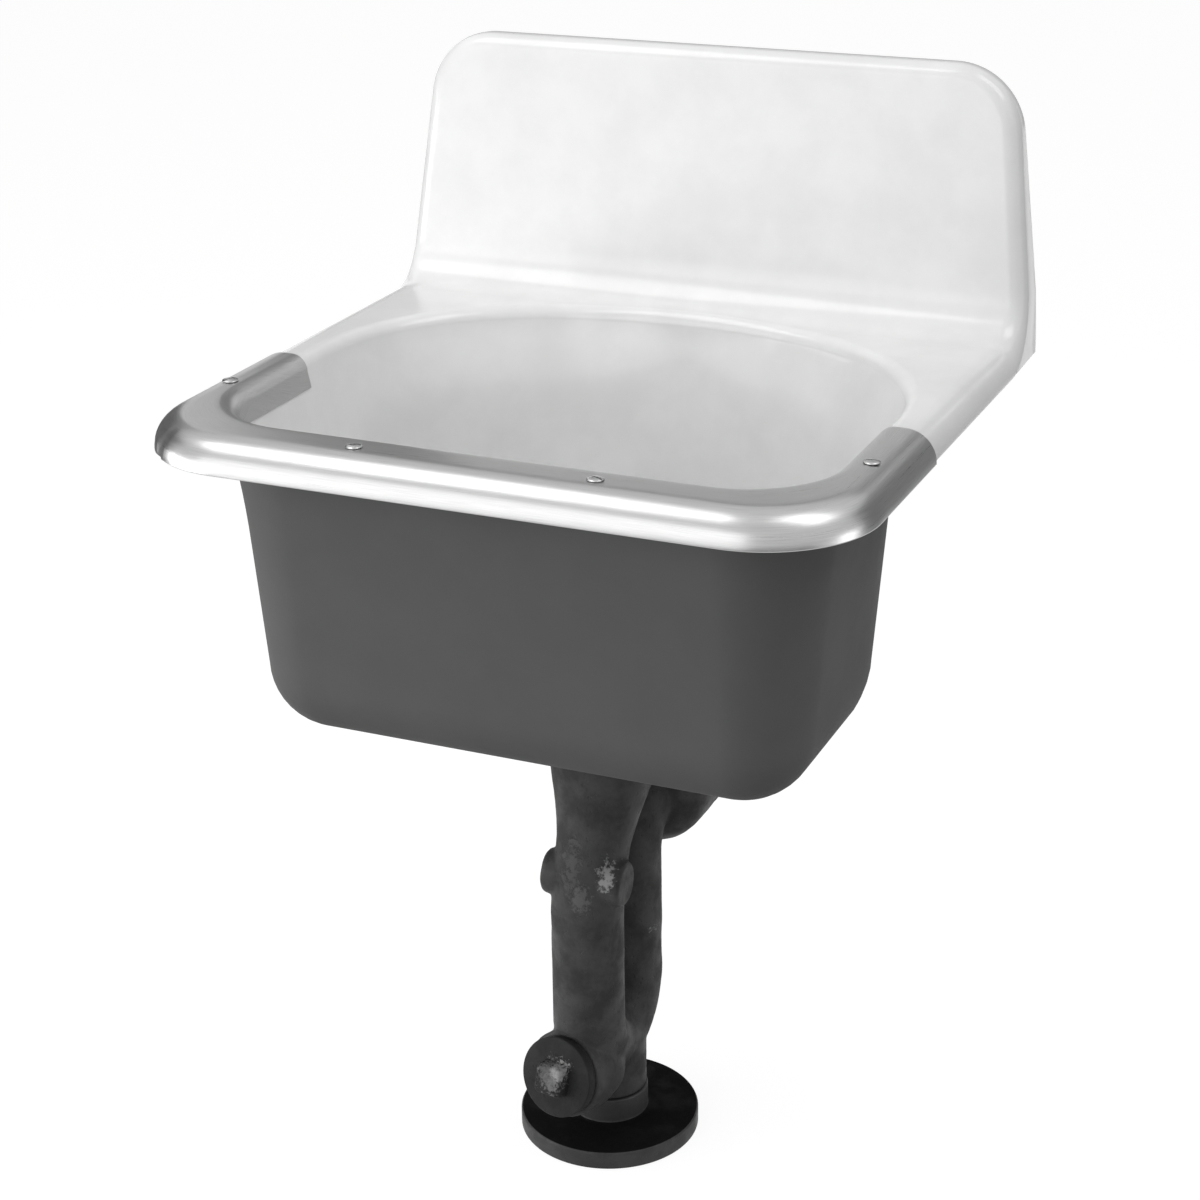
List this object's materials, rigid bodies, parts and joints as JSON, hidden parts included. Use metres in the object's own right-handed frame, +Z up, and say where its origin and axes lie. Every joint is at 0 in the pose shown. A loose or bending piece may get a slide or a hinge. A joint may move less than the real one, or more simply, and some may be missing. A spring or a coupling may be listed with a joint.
{
  "type": "wall-hung mop service sink",
  "caption": "Wall-hung mop service sink: enamelled cast-iron bowl with raised back, steel rim guard, and a cast-iron trap on a round floor flange.",
  "frame": {"origin": "on the wall, at the level of the rim's top, in the middle of the sink's width", "axes": "+X to the right seen from the front, +Y towards the wall, +Z up"},
  "size_m": [0.559, 0.508, 0.8825],
  "materials": {
    "enamelled_iron": "glossy white enamel inside and on top, grey paint on the bowl's outside",
    "satin_steel": "satin",
    "screw_steel": "plain",
    "strainer_steel": "bright",
    "rubber_gasket": "matt black",
    "trap_iron": "rough as cast, painted dark grey",
    "foot_iron": "satin black paint",
    "plain_steel": "plain zinc grey"
  },
  "bodies": {
    "sink": {"sink_casting": "enamelled_iron", "rim_guard": "satin_steel", "rim_guard_screw_front_left": "screw_steel", "rim_guard_screw_front_right": "screw_steel", "rim_guard_screw_side_left": "screw_steel", "rim_guard_screw_side_right": "screw_steel", "strainer_plate": "strainer_steel", "strainer_gasket": "rubber_gasket", "strainer_bolt_1": "strainer_steel", "strainer_bolt_2": "strainer_steel", "strainer_bolt_3": "strainer_steel", "outlet_gasket": "rubber_gasket", "trap_casting": "trap_iron", "adjusting_nipple": "plain_steel", "wall_hanger_left": "plain_steel", "wall_hanger_right": "plain_steel"},
    "cleanout_seal": {"cleanout_gasket": "rubber_gasket"},
    "cleanout_plug": {"cleanout_plug": "trap_iron"},
    "floor_foot": {"floor_flange": "foot_iron"}
  },
  "joints": [
    {"name": "cleanout_travel", "type": "slide", "parent": "sink", "child": "cleanout_seal", "axis": [-0.1953, -0.9517, 0.2368], "range_m": [0, 0.0221]},
    {"name": "cleanout_turn", "type": "hinge", "parent": "cleanout_seal", "child": "cleanout_plug", "pos_m": [-0.0122, -0.3363, -0.5864], "axis": [-0.1953, -0.9517, 0.2368], "range_deg": [0, 3585]},
    {"name": "foot_height", "type": "slide", "parent": "sink", "child": "floor_foot", "axis": [0, 0, -1], "range_m": [0, 0.025]}
  ],
  "couplings": [
    {"joint": "cleanout_travel", "follows": "cleanout_turn", "m_per_rad": 0.0003516}
  ]
}
